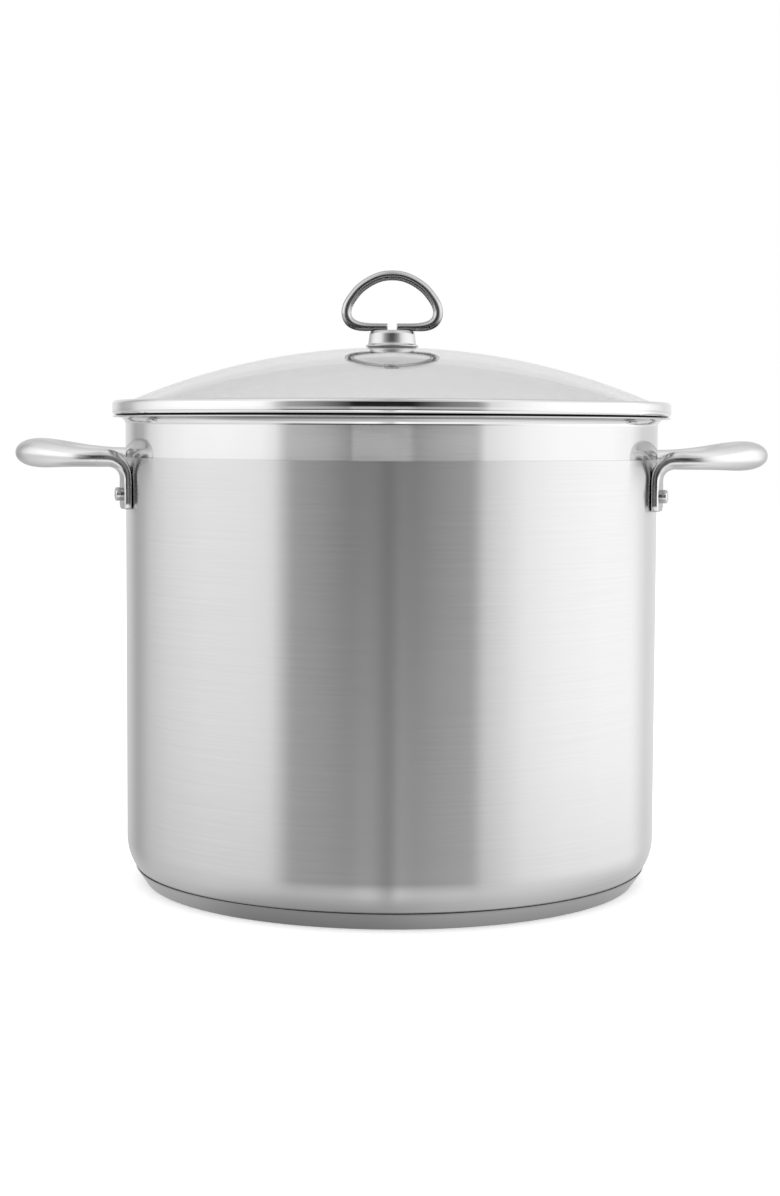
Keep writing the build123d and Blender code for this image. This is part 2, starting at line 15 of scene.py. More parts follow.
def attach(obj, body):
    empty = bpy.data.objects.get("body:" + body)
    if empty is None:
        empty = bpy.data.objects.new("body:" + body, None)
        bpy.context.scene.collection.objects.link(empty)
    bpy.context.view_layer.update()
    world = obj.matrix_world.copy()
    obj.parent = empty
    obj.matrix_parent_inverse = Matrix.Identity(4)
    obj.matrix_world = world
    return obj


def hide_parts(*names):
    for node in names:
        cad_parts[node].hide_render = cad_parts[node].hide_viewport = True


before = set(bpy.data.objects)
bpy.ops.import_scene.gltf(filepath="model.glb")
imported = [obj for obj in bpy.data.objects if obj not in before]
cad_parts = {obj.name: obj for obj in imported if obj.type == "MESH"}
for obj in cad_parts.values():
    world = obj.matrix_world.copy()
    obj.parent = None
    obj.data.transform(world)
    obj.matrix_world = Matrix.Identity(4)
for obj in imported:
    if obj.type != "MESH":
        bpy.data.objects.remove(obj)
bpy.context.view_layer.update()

MM = 0.001  # metres in a millimetre
LATHE_SEGMENTS = 320
RING_SEGMENTS = 180

# ---------------------------------------------------------------- main dimensions
WALL_R = 151.0  # outside of the pot wall
SHEET = 1.0  # thickness of the shell
FLOOR_Z = 5.85  # underside of the shell's flat floor
HEEL_R = 28.0  # large corner between wall and base
HEEL_CENTER = (WALL_R - HEEL_R, 26.0)
TOE_R = 8.0  # small corner between the heel and the flat floor
TOE_CENTER = (138.9, FLOOR_Z + TOE_R)
HEEL_END = math.degrees(
    math.atan2(TOE_CENTER[1] - HEEL_CENTER[1], TOE_CENTER[0] - HEEL_CENTER[0])
)
POLISH_Z = 241.2  # lower edge of the polished band on the outside
FLARE_R = 4.0  # outer-face radius of the flared lip
FLARE_CENTER = (WALL_R + FLARE_R, 259.4)

CORE_BOTTOM = 0.6
CORE_CORNER = 0.8
CORE_CORNER_R = 138.0  # distance of the core's corner centres from the axis

FOOT_ANGLE = math.radians(16.5)  # handle feet, either side of the X axis
GRIP_Z = 240.9
RIVET_Z = 221.0

GLASS_R, GLASS_THICKNESS, GLASS_APEX = 372.0, 4.0, 303.6
GLASS_INNER_R = GLASS_R - GLASS_THICKNESS
GLASS_CENTER_Z = GLASS_APEX - GLASS_R
GLASS_EDGE = 154.0
BAND_R, BAND_TOP, BAND_BOTTOM = 158.4, 272.9, 264.5
BAND_SHEET = 0.6
TOP_CORNER, BOTTOM_CORNER = 2.4, 2.6
SKIRT_R = 148.6  # outside of the band's skirt, which hangs inside the pot

BAR_Z = 315.3  # centre of the knob's level bar
POST_BOTTOM, POST_TOP = 304.0, 313.4
BORE = 2.3  # hole through the upper gasket and the cup
CUP_BOTTOM, CUP_R, CUP_SHEET = 295.5, 174.0, 0.8

RACK_R = 138.0
UPRIGHT_X, UPRIGHT_TOP = 134.0, 122.0


# ---------------------------------------------------------------- outlines and paths
def spaced(first, last, count):
    return [first + (last - first) * i / count for i in range(count + 1)]


def arc(center, radius, start, end, count):
    """Points of an arc, angles in degrees."""
    angles = [math.radians(a) for a in spaced(start, end, count)]
    return [
        (center[0] + radius * math.cos(a), center[1] + radius * math.sin(a)) for a in angles
    ]


def line(start, end, count):
    return list(zip(spaced(start[0], end[0], count), spaced(start[1], end[1], count)))


def clean(points):
    """Drops repeated neighbours, including a last point that meets the first."""
    kept = []
    for point in points:
        if not kept or math.dist(point, kept[-1]) > 1e-4:
            kept.append(point)
    if math.dist(kept[0], kept[-1]) < 1e-4:
        kept.pop()
    return kept


def ellipse(half_width, half_height, count):
    angles = [2 * math.pi * k / count for k in range(count)]
    return [(half_width * math.cos(a), half_height * math.sin(a)) for a in angles]


def circle_path(radius, z):
    return [(x, y, z) for x, y in ellipse(radius, radius, RING_SEGMENTS)]


def fillet_path(points, radius, count=10):
    """Polyline with its inner corners rounded."""
    points = [Vector(p) for p in points]
    path = [points[0]]
    for before, corner, after in zip(points, points[1:], points[2:]):
        back, ahead = (before - corner).normalized(), (after - corner).normalized()
        angle = back.angle(ahead)
        trim = radius / math.tan(angle / 2)
        middle = (back + ahead).normalized()
        center = corner + middle * (radius / math.sin(angle / 2))
        start = corner + back * trim - center
        end = corner + ahead * trim - center
        turn = start.angle(end)
        for k in range(count + 1):
            s = k / count
            path.append(
                center
                + (
                    start * (math.sin((1 - s) * turn) / math.sin(turn))
                    + end * (math.sin(s * turn) / math.sin(turn))
                )
            )
    path.append(points[-1])
    return path


def natural_spline(knots, values, at):
    """Natural cubic spline through (knots, values), read at the given places."""
    knots, values, at = (np.array(a, float) for a in (knots, values, at))
    n = len(knots)
    gaps = np.diff(knots)
    system = np.zeros((n, n))
    right = np.zeros(n)
    system[0, 0] = system[-1, -1] = 1
    for i in range(1, n - 1):
        system[i, i - 1] = gaps[i - 1]
        system[i, i] = 2 * (gaps[i - 1] + gaps[i])
        system[i, i + 1] = gaps[i]
        right[i] = 6 * (
            (values[i + 1] - values[i]) / gaps[i] - (values[i] - values[i - 1]) / gaps[i - 1]
        )
    bend = np.linalg.solve(system, right)
    k = np.clip(np.searchsorted(knots, at) - 1, 0, n - 2)
    t = at - knots[k]
    gap = gaps[k]
    slope = (values[k + 1] - values[k]) / gap - gap * (2 * bend[k] + bend[k + 1]) / 6
    return values[k] + t * slope + t**2 * bend[k] / 2 + t**3 * (bend[k + 1] - bend[k]) / (6 * gap)


# ---------------------------------------------------------------- meshes: (vertices, faces)
def about_z(r, z, angle):
    return (r * math.cos(angle) * MM, r * math.sin(angle) * MM, z * MM)


def revolve(profile, segments=LATHE_SEGMENTS, position=about_z):
    """Turns a closed profile of (radius, height); points on the axis become poles."""
    verts, rings = [], []
    for r, height in clean(profile):
        if r < 1e-4:
            rings.append([len(verts)] * segments)
            verts.append(position(r, height, 0.0))
        else:
            rings.append(list(range(len(verts), len(verts) + segments)))
            verts += [position(r, height, 2 * math.pi * k / segments) for k in range(segments)]
    faces = []
    for ring, after in zip(rings, rings[1:] + rings[:1]):
        ring_is_pole, after_is_pole = ring[0] == ring[1], after[0] == after[1]
        if ring_is_pole and after_is_pole:
            continue
        for k in range(segments):
            l = (k + 1) % segments
            if ring_is_pole:
                faces.append((ring[0], after[l], after[k]))
            elif after_is_pole:
                faces.append((ring[k], ring[l], after[0]))
            else:
                faces.append((ring[k], ring[l], after[l], after[k]))
    return verts, faces


def tangents(points, closed=False):
    n = len(points)
    if closed:
        return [(points[(i + 1) % n] - points[i - 1]).normalized() for i in range(n)]
    return [(points[min(i + 1, n - 1)] - points[max(i - 1, 0)]).normalized() for i in range(n)]


def cross_frame(side, tangent):
    """Two unit axes square to the tangent, the first as near to side as it can be."""
    side = (side - tangent * side.dot(tangent)).normalized()
    return side, tangent.cross(side).normalized()


def sweep(points, section, closed=False, frames=None):
    """Skins rings along points; section(i) gives the 2D offsets in each frame."""
    points = [Vector(p) for p in points]
    if frames is None:
        directions = tangents(points, closed)
        side = directions[0].orthogonal().normalized()
        frames = []
        for direction in directions:
            frames.append(cross_frame(side, direction))
            side = frames[-1][0]
    verts, faces, rings = [], [], []
    for i, (point, (u, v)) in enumerate(zip(points, frames)):
        offsets = section(i)
        rings.append(list(range(len(verts), len(verts) + len(offsets))))
        for a, b in offsets:
            place = point + u * a + v * b
            verts.append((place.x * MM, place.y * MM, place.z * MM))
    sides = len(rings[0])
    count = len(rings)
    for i in range(count if closed else count - 1):
        ring, after = rings[i], rings[(i + 1) % count]
        for k in range(sides):
            l = (k + 1) % sides
            faces.append((ring[k], ring[l], after[l], after[k]))
    if not closed:
        for ring in (rings[0], rings[-1]):
            center = len(verts)
            verts.append(tuple(sum((Vector(verts[k]) for k in ring), Vector()) / len(ring)))
            faces += [(ring[k], ring[(k + 1) % sides], center) for k in range(sides)]
    return verts, faces


def tube(points, wire, closed=False, sides=24):
    """Round wire of radius wire; open ends get a small rounded edge break."""
    points = [Vector(p) for p in points]
    radii = [wire] * len(points)
    if not closed:
        edge = 0.35
        start, end = points[0], points[-1]
        ahead = (points[1] - start).normalized()
        back = (end - points[-2]).normalized()
        head = [start, start + ahead * edge * 0.3, start + ahead * edge]
        tail = [end - back * edge, end - back * edge * 0.3, end]
        points = head + points[1:-1] + tail
        taper = [wire - edge, wire - edge * 0.3, wire]
        radii = taper + radii[1:-1] + taper[::-1]
    return sweep(points, lambda i: ellipse(radii[i], radii[i], sides), closed)


def join(meshes):
    verts, faces = [], []
    for part_verts, part_faces in meshes:
        offset = len(verts)
        verts += part_verts
        faces += [tuple(k + offset for k in face) for face in part_faces]
    return verts, faces


# ---------------------------------------------------------------- objects
def make_object(name, mesh, materials, face_slots=None, sharp=38.0):
    """Smooth-shaded object; edges that bend more than sharp degrees stay crisp."""
    data = bpy.data.meshes.new(name)
    data.from_pydata(mesh[0], [], mesh[1])
    for material in materials:
        data.materials.append(material)
    if face_slots is not None:
        data.polygons.foreach_set("material_index", face_slots)
    data.update()
    bm = bmesh.new()
    bm.from_mesh(data)
    bmesh.ops.remove_doubles(bm, verts=bm.verts, dist=1e-8)
    bmesh.ops.recalc_face_normals(bm, faces=bm.faces)
    for face in bm.faces:
        face.smooth = True
    limit = math.radians(sharp)
    for edge in bm.edges:
        if len(edge.link_faces) == 2 and edge.calc_face_angle(0.0) > limit:
            edge.smooth = False
    bm.to_mesh(data)
    bm.free()
    made = bpy.data.objects.new(name, data)
    bpy.context.scene.collection.objects.link(made)
    return made


def register(made, body, node_name):
    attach(made, body)
    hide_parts(node_name)


def piece(name, mesh, material, body, node_name, sharp=38.0):
    register(make_object(name, mesh, [material], sharp=sharp), body, node_name)


# ---------------------------------------------------------------- shader helpers
def grey(value):
    return (value, value, value)


def feed(tree, target, inputs):
    """Links each socket in inputs, and sets the value of every other entry."""
    for key, value in inputs.items():
        if isinstance(value, bpy.types.NodeSocket):
            tree.links.new(value, target.inputs[key])
        else:
            target.inputs[key].default_value = value


def node(tree, kind, inputs=None, **settings):
    made = tree.nodes.new(kind)
    for key, value in settings.items():
        setattr(made, key, value)
    feed(tree, made, inputs or {})
    return made


def new_material(name):
    material = bpy.data.materials.new(name)
    material.use_nodes = True
    tree = material.node_tree
    return material, tree, tree.nodes["Principled BSDF"]


def noise(tree, scale, detail, rough, distortion=0.0):
    """Noise in object space; scale is per metre along x, y, z."""
    coords = node(tree, "ShaderNodeTexCoord").outputs["Object"]
    mapping = node(tree, "ShaderNodeMapping", {"Vector": coords, "Scale": scale})
    texture = node(
        tree,
        "ShaderNodeTexNoise",
        {
            "Vector": mapping.outputs["Vector"],
            "Scale": 1.0,
            "Detail": detail,
            "Roughness": rough,
            "Distortion": distortion,
        },
    )
    return texture.outputs["Fac"]


def remap(tree, value, span, to=(0.0, 1.0)):
    inputs = {
        "Value": value,
        "From Min": span[0],
        "From Max": span[1],
        "To Min": to[0],
        "To Max": to[1],
    }
    return node(tree, "ShaderNodeMapRange", inputs).outputs["Result"]


def calculate(tree, operation, *values):
    return node(tree, "ShaderNodeMath", dict(enumerate(values)), operation=operation).outputs[0]


def mottle(tree, pattern, low, high, span=(0.3, 0.7)):
    """Colour that runs from low to high as the pattern crosses span."""
    inputs = {"Factor": remap(tree, pattern, span), "A": (*low, 1), "B": (*high, 1)}
    return node(tree, "ShaderNodeMix", inputs, data_type="RGBA").outputs["Result"]


def tones(color, tone):
    """The colour darkened and lightened by the share tone."""
    return tuple(c * (1 - tone) for c in color), tuple(min(1, c * (1 + tone)) for c in color)


def multiply(tree, first, second):
    inputs = {"Factor": 1.0, "A": first, "B": second}
    mix = node(tree, "ShaderNodeMix", inputs, data_type="RGBA", blend_type="MULTIPLY")
    return mix.outputs["Result"]


def grey_ramp(tree, factor, stops):
    """Ramp through stops of (place, grey), with factor 0 to 1 from first place to last."""
    ramp = node(tree, "ShaderNodeValToRGB", {"Fac": factor})
    elements = ramp.color_ramp.elements
    elements.remove(elements[-1])
    first, last = stops[0][0], stops[-1][0]
    elements[0].position = 0.0
    elements[0].color = (*grey(stops[0][1]), 1)
    for place, value in stops[1:]:
        elements.new((place - first) / (last - first)).color = (*grey(value), 1)
    return ramp.outputs["Color"]


def bump_normal(tree, height, strength, distance, below=None):
    """Bump of distance metres, laid over the normal below if there is one."""
    inputs = {"Strength": strength, "Distance": distance, "Height": height}
    if below is not None:
        inputs["Normal"] = below
    return node(tree, "ShaderNodeBump", inputs).outputs["Normal"]


# ---------------------------------------------------------------- material kinds
def steel(
    name, color, rough, spread, tone, brush, detail=4.0, aniso=0.0, bump=0.0,
    bump_depth=0.00002, wave=0.0, specular=1.0, shade=None, under=None,
):
    """Metal whose colour, roughness and surface all vary.

    spread and tone are the swings of roughness and colour, brush and detail shape the fine
    noise, bump_depth and wave are in metres, and specular is the grey of the edge tint.
    shade lists (height, brightness) that multiply the colour: painted shade, and painted light where
    above 1. under is (normal z where darkest, normal z where unshaded, darkest factor) and paints
    shade onto faces that look down.
    """
    material, tree, shader = new_material(name)
    fine = noise(tree, brush, detail=detail, rough=0.62)
    broad = noise(tree, (9, 9, 9), detail=2.0, rough=0.5)
    smear = noise(tree, (40, 40, 26), detail=3.0, rough=0.6, distortion=0.4)
    tint = mottle(tree, fine, *tones(color, tone), span=(0.25, 0.75))
    # Painted shade and painted light: the colour is multiplied by a grey ramp over height.
    if shade:
        coords = node(tree, "ShaderNodeTexCoord").outputs["Object"]
        split = node(tree, "ShaderNodeSeparateXYZ", {0: coords})
        heights = (shade[0][0] * MM, shade[-1][0] * MM)
        height = remap(tree, split.outputs["Z"], heights)
        tint = multiply(tree, tint, grey_ramp(tree, height, shade))
    # Painted shade: faces whose normal looks down get a darker colour.
    if under:
        normal = node(tree, "ShaderNodeNewGeometry").outputs["Normal"]
        split = node(tree, "ShaderNodeSeparateXYZ", {0: normal})
        painted_underside_shade = remap(tree, split.outputs["Z"], under[:2], to=(under[2], 1.0))
        painted_underside_shade_rgb = node(tree, "ShaderNodeCombineXYZ", {"X": painted_underside_shade, "Y": painted_underside_shade, "Z": painted_underside_shade})
        tint = multiply(tree, tint, painted_underside_shade_rgb.outputs[0])
    fine_rough = remap(tree, fine, (0.3, 0.7), to=(rough - spread, rough + spread))
    smear_rough = remap(tree, smear, (0.35, 0.75), to=(0.0, spread * 0.7))
    broad_rough = remap(tree, broad, (0.3, 0.7), to=(0.0, spread * 0.5))
    roughness = calculate(
        tree, "ADD", calculate(tree, "ADD", fine_rough, smear_rough), broad_rough
    )
    inputs = {
        "Metallic": 1.0,
        "Base Color": tint,
        "Roughness": roughness,
        "Specular Tint": (*grey(specular), 1),
    }
    if aniso:
        tangent = node(tree, "ShaderNodeTangent", direction_type="RADIAL", axis="Z")
        inputs["Anisotropic"] = aniso
        inputs["Anisotropic Rotation"] = 0.25
        inputs["Tangent"] = tangent.outputs["Tangent"]
    if bump:
        inputs["Normal"] = bump_normal(tree, fine, strength=bump, distance=bump_depth)
    if wave:
        inputs["Normal"] = bump_normal(
            tree, smear, strength=1.0, distance=wave, below=inputs.get("Normal")
        )
    feed(tree, shader, inputs)
    return material


def silicone(name, color, rough, transmission=0.0):
    material, tree, shader = new_material(name)
    grain = noise(tree, grey(900.0), detail=3.0, rough=0.6)
    patches = noise(tree, (60, 60, 60), detail=3.0, rough=0.5)
    inputs = {
        "Base Color": mottle(tree, patches, *tones(color, 0.06)),
        "Roughness": remap(tree, grain, (0.3, 0.7), to=(rough - 0.06, rough + 0.06)),
        "Normal": bump_normal(tree, grain, strength=0.15, distance=0.00005),
        "Transmission Weight": transmission,
    }
    feed(tree, shader, inputs)
    return material


def clear_glass(name):
    material, tree, shader = new_material(name)
    smear = noise(tree, (8, 8, 8), detail=2.0, rough=0.5, distortion=0.3)
    fine = noise(tree, (700, 700, 700), detail=2.0, rough=0.5)
    inputs = {
        "Base Color": mottle(tree, smear, grey(0.93), grey(0.95)),
        "Roughness": remap(tree, fine, (0.3, 0.8), to=(0.0, 0.018)),
        "IOR": 1.5,
        "Transmission Weight": 1.0,
        "Normal": bump_normal(tree, smear, strength=1.0, distance=0.00001),
    }
    feed(tree, shader, inputs)
    return material


def floor_paper(name):
    material, tree, shader = new_material(name)
    patches = noise(tree, (60, 60, 60), detail=4.0, rough=0.6)
    inputs = {
        "Base Color": mottle(tree, patches, grey(0.93), grey(0.95)),
        "Roughness": 0.9,
        "Specular IOR Level": 0.0,
        "Emission Color": (1, 1, 1, 1),
        "Emission Strength": 0.35,
    }
    feed(tree, shader, inputs)
    return material


# ---------------------------------------------------------------- materials
SHELL_BRUSHED = steel(
    "shell_brushed", grey(0.63), rough=0.235, spread=0.006, tone=0.027,
    brush=(14, 14, 1800), detail=2.0, aniso=1.0, bump=0.06, bump_depth=0.000004,
    # Painted shade: the colour darkens toward the base, below 110 mm, most near the floor.
    shade=[
        (5, 0.70), (12, 0.74), (19, 0.84), (28, 0.90), (50, 0.94), (80, 0.98), (110, 1.0),
        (260, 1.0),
    ],
)
SHELL_POLISHED = steel(
    "shell_polished_band", grey(0.63), rough=0.05, spread=0.012, tone=0.012,
    brush=(40, 40, 1500), wave=0.000004,
    # Painted light and shade by height: darker along the band's lower edge, painted light at the
    # foot of the flare and on the lip's edge, painted shadow under the lip and on the lip top
    # beneath the lid band.
    shade=[
        (240, 0.84), (241.5, 0.84), (241.8, 1.0), (259.4, 1.0), (260.0, 1.2), (260.5, 1.2),
        (261.3, 1.2), (262.2, 1.0), (262.9, 0.62), (263.3, 0.66), (263.6, 1.1), (264.0, 0.9),
        (264.2, 0.2), (264.35, 0.12), (265, 0.1),
    ],
)
SHELL_INSIDE = steel(
    "shell_inside_satin", grey(0.63), rough=0.26, spread=0.008, tone=0.02,
    brush=(18, 18, 1800), detail=2.0, aniso=0.8, bump=0.06, bump_depth=0.000004,
)
BASE_CAP = steel(
    "base_cap_satin", grey(0.365), rough=0.30, spread=0.03, tone=0.03,
    brush=(30, 30, 1400), aniso=0.5, bump=0.1, bump_depth=0.000006,
    # Painted shade: darker toward the floor, with a painted shadow line along the upper edge where
    # the cap meets the shell.
    shade=[(-0.1, 0.75), (3, 0.85), (8, 1.0), (9.0, 0.85), (9.6, 0.5)],
)
HANDLE_CAST = steel(
    "handle_polished_cast", grey(0.70), rough=0.215, spread=0.02, tone=0.02,
    brush=(160, 160, 160), wave=0.00002, specular=0.75,
)
RIVET = steel(
    "rivet_polished", grey(0.60), rough=0.14, spread=0.03, tone=0.04,
    brush=(600, 600, 600), bump=0.1,
)
LID_BAND = steel(
    "lid_band_polished", grey(0.68), rough=0.036, spread=0.006, tone=0.012,
    brush=(30, 30, 1600), wave=0.000004,
    # Painted shadow along the bottom edge, in the gap over the pot's lip, painted light just above
    # it, and darker over the top corner.
    shade=[
        (264, 0.10), (264.75, 0.12), (265.05, 0.6), (265.3, 1.15), (266.2, 1.2),
        (267.0, 1.0), (272.0, 1.0), (272.6, 0.8), (275, 0.75),
    ],
)
KNOB_ROD = steel(
    "knob_rod_polished", grey(0.54), rough=0.17, spread=0.01, tone=0.02,
    # Painted shade: faces that look down are darkened, to 0.42 at the bottom.
    brush=(300, 300, 300), specular=0.35, under=(-0.9, 0.1, 0.42),
)
KNOB_POST = steel(
    "knob_post_turned", grey(0.60), rough=0.28, spread=0.015, tone=0.015,
    brush=(60, 60, 2200),
)
CUP = steel(
    "cup_satin", grey(0.70), rough=0.3, spread=0.03, tone=0.03,
    brush=(300, 300, 300), bump=0.05,
)
RACK_WIRE = steel(
    "rack_wire_polished", grey(0.60), rough=0.16, spread=0.04, tone=0.05,
    brush=(200, 200, 200), bump=0.15,
)
ALUMINIUM = steel(
    "core_rolled_aluminium", (0.75, 0.76, 0.77), rough=0.38, spread=0.06, tone=0.04,
    brush=(20, 900, 900), bump=0.3,
)
BEDDING = silicone("bedding_dark_silicone", (0.03, 0.03, 0.032), rough=0.5)
WHITE_SEAL = silicone("gasket_white_silicone", grey(0.9), rough=0.5)
PALE_SEAL = silicone("gasket_pale_silicone", (0.72, 0.73, 0.73), rough=0.4, transmission=0.5)
GLASS = clear_glass("lid_glass_clear")


# ---------------------------------------------------------------- pot shell
def shell_profile():
    """(r, z) from the floor's underside up the outside, over the lip and down the inside."""
    flare_z = FLARE_CENTER[1]
    inner_r = WALL_R - SHEET
    toe_x = TOE_CENTER[0]
    lip = (157.6, flare_z + FLARE_R + SHEET / 2)
    return clean(
        line((0, FLOOR_Z), (toe_x, FLOOR_Z), 6)
        + arc(TOE_CENTER, TOE_R, -90, HEEL_END, 10)
        + arc(HEEL_CENTER, HEEL_R, HEEL_END, 0, 22)
        + line((WALL_R, HEEL_CENTER[1]), (WALL_R, POLISH_Z), 12)
        + line((WALL_R, POLISH_Z), (WALL_R, flare_z - 0.5), 3)
        + line((WALL_R, flare_z - 0.25), (WALL_R, flare_z - 0.02), 2)
        + arc(FLARE_CENTER, FLARE_R, 180, 90, 18)
        + arc(lip, SHEET / 2, -90, 90, 10)
        + arc(FLARE_CENTER, FLARE_R + SHEET, 90, 180, 18)
        + line((inner_r, flare_z), (inner_r, HEEL_CENTER[1]), 10)
        + arc(HEEL_CENTER, HEEL_R - SHEET, 0, HEEL_END, 18)
        + arc(TOE_CENTER, TOE_R - SHEET, HEEL_END, -90, 8)
        + line((toe_x, FLOOR_Z + SHEET), (0, FLOOR_Z + SHEET), 6)
    )


def shell_slot(r, z):
    """Material slot at a place on the profile."""
    brushed, polished, satin, aluminium = range(4)
    if z < 6.5 and r < 139:
        return aluminium
    on_wall = r < 150.4 and z > 26.5
    on_floor = z >= 6.84 and r < 139
    on_heel = math.dist((r, z), HEEL_CENTER) < 27.5 and z < 26.5 and r > 140
    on_toe = r < 144.6 and z > 6.8 and math.dist((r, z), TOE_CENTER) < 7.4
    if on_wall or on_floor or on_heel or on_toe:
        return satin if z < 258 else polished
    return polished if z > POLISH_Z else brushed


profile = shell_profile()
face_slots = []
for (r0, z0), (r1, z1) in zip(profile, profile[1:]):
    face_slots += [shell_slot((r0 + r1) / 2, (z0 + z1) / 2)] * LATHE_SEGMENTS
shell_materials = [SHELL_BRUSHED, SHELL_POLISHED, SHELL_INSIDE, ALUMINIUM]
shell = make_object("pot_shell", revolve(profile), shell_materials, face_slots)
register(shell, "pot", "pot_body")

# ---------------------------------------------------------------- base
core_profile = (
    arc((CORE_CORNER_R, CORE_BOTTOM + CORE_CORNER), CORE_CORNER, -90, 0, 4)
    + arc((CORE_CORNER_R, FLOOR_Z - CORE_CORNER), CORE_CORNER, 0, 90, 4)
    + [(0, FLOOR_Z), (0, CORE_BOTTOM)]
)
piece("base_core_disc", revolve(core_profile), ALUMINIUM, "pot", "base_core")


def cap_profile():
    """Thin dish under the core with a leaning rim, outside first and then back inside."""
    side_r = 140.3  # foot of the leaning side
    skin = 0.6
    lean = math.atan2(8.8, 146.3 - side_r)
    skin_across = skin / math.sin(lean)
    return (
        line((0, 0), (139.4, 0), 6)
        + [(139.78, 0.04), (140.1, 0.22), (side_r, 0.5)]
        + line((side_r, 0.5), (146.1, 9.0), 10)
        + [(146.14, 9.18), (146.02, 9.3), (145.75, 9.3), (145.6, 9.18)]
        + line((145.5, 9.0), (side_r + 0.45 / math.tan(lean) - skin_across, 0.95), 6)
        + line((139.6, skin), (0, skin), 4)
    )


piece("base_cap_skin", revolve(cap_profile()), BASE_CAP, "pot", "base_cap")

# ---------------------------------------------------------------- side handles
# Foot against the wall: z, width, thickness.
FOOT_STATIONS = (
    (212.6, 14.2, 3.4), (212.9, 16.0, 4.0), (213.6, 17.4, 4.4), (215.0, 18.3, 4.5),
    (217.4, 18.6, 4.5), (220.4, 18.6, 4.5), (223.8, 18.4, 4.5), (227.0, 18.0, 4.6),
)
# Bend from upright to level: degrees turned, width, thickness, section exponent.
BEND_STATIONS = (
    (0, 17.2, 4.8, 4.6), (15, 16.4, 5.6, 3.8), (30, 15.6, 6.6, 3.2), (45, 15.1, 7.7, 2.8),
    (60, 14.6, 8.8, 2.6), (75, 14.1, 9.4, 2.45), (90, 13.7, 9.9, 2.4),
)
# Grip, from the bend to the handle's middle: share of the curve, width, thickness.
GRIP_STATIONS = (
    (0.1, 13.3, 10.1), (0.2, 12.9, 10.5), (0.3, 12.9, 11.2), (0.4, 13.4, 12.2),
    (0.5, 14.6, 13.4), (0.6, 16.8, 14.6), (0.7, 20.0, 15.5), (0.8, 23.4, 16.0),
    (0.9, 26.4, 16.3), (1.0, 27.8, 16.4),
)
FOOT_EXPONENT = 5.5
FOOT_R = WALL_R + 2.1  # centre line of the foot
BEND_R = 11.0
GRIP_X = 200.8  # farthest reach of the centre line
GRIP_RISE = 2.4  # the middle stands this much above the bends
HANDLE_SUBSTEPS = 3
HANDLE_SIDES = 44


def half_handle():
    """Stations from the foot's lower end to the middle: point, width, thickness, exponent, side."""
    cos_foot, sin_foot = math.cos(FOOT_ANGLE), math.sin(FOOT_ANGLE)
    side = Vector((-sin_foot, cos_foot, 0))
    stations = []
    for z, width, thick in FOOT_STATIONS:
        point = Vector((FOOT_R * cos_foot, FOOT_R * sin_foot, z))
        stations.append((point, width, thick, FOOT_EXPONENT, side))
    for degrees, width, thick, exponent in BEND_STATIONS:
        turn = math.radians(degrees)
        reach = FOOT_R + BEND_R * (1 - math.cos(turn))
        z = GRIP_Z - BEND_R + BEND_R * math.sin(turn)
        point = Vector((reach * cos_foot, reach * sin_foot, z))
        stations.append((point, width, thick, exponent, side))
    # The grip follows a cubic Bezier curve seen from above.
    b0 = Vector(((FOOT_R + BEND_R) * cos_foot, (FOOT_R + BEND_R) * sin_foot))
    b1 = b0 + Vector((cos_foot, sin_foot)) * 21
    b2, b3 = Vector((GRIP_X, 27.0)), Vector((GRIP_X, 0.0))
    for u, width, thick in GRIP_STATIONS:
        p = b0 * (1 - u) ** 3 + b1 * 3 * u * (1 - u) ** 2 + b2 * 3 * u * u * (1 - u) + b3 * u**3
        d = (b1 - b0) * 3 * (1 - u) ** 2 + (b2 - b1) * 6 * u * (1 - u) + (b3 - b2) * 3 * u * u
        d.normalize()
        z = GRIP_Z + GRIP_RISE * (u * u * (3 - 2 * u))
        stations.append(
            (Vector((p.x, p.y, z)), width, thick, 2.3 - 0.2 * u, Vector((-d.y, d.x, 0)))
        )
    return stations


def handle_mesh(sign):
    """Whole handle on the +X side, or on the -X side with sign -1."""
    stations = half_handle()
    middle = (len(stations) - 1) * HANDLE_SUBSTEPS
    for point, *rest in reversed(stations[:-1]):
        stations.append((Vector((point.x, -point.y, point.z)), *rest))
    centers, widths, thicks, exponents, sides = zip(*stations)
    travel = list(accumulate(((b - a).length for a, b in zip(centers, centers[1:])), initial=0.0))
    along = []
    for start, end in zip(travel, travel[1:]):
        along += [start + (end - start) * j / HANDLE_SUBSTEPS for j in range(HANDLE_SUBSTEPS)]
    along = np.array(along + [travel[-1]])

    path = [
        Vector(point)
        for point in zip(*(natural_spline(travel, [p[k] for p in centers], along) for k in range(3)))
    ]
    widths = natural_spline(travel, widths, along)
    thicks = natural_spline(travel, thicks, along)
    exponents = np.interp(along, travel, exponents)
    side_x = np.interp(along, travel, [side.x for side in sides])
    side_y = np.interp(along, travel, [side.y for side in sides])
    frames = []
    for i, tangent in enumerate(tangents(path)):
        # The second half mirrors the first half's side axis.
        j = min(i, 2 * middle - i)
        side = Vector((side_x[j], side_y[j] if i <= middle else -side_y[j], 0))
        frames.append(cross_frame(side, tangent))

    def section(i):
        """Superellipse of the station."""
        power = 2.0 / exponents[i]
        return [
            (
                widths[i] / 2 * math.copysign(abs(c) ** power, c),
                thicks[i] / 2 * math.copysign(abs(s) ** power, s),
            )
            for c, s in ellipse(1, 1, HANDLE_SIDES)
        ]

    verts, faces = sweep(path, section, frames=frames)
    fitted = []
    limit = (WALL_R + 0.03) * MM
    for x, y, z in verts:
        # The foot's inner face follows the round wall.
        r = math.hypot(x, y)
        if r < limit:
            x, y = x * limit / r, y * limit / r
        fitted.append((x * sign, y, z))
    return fitted, faces


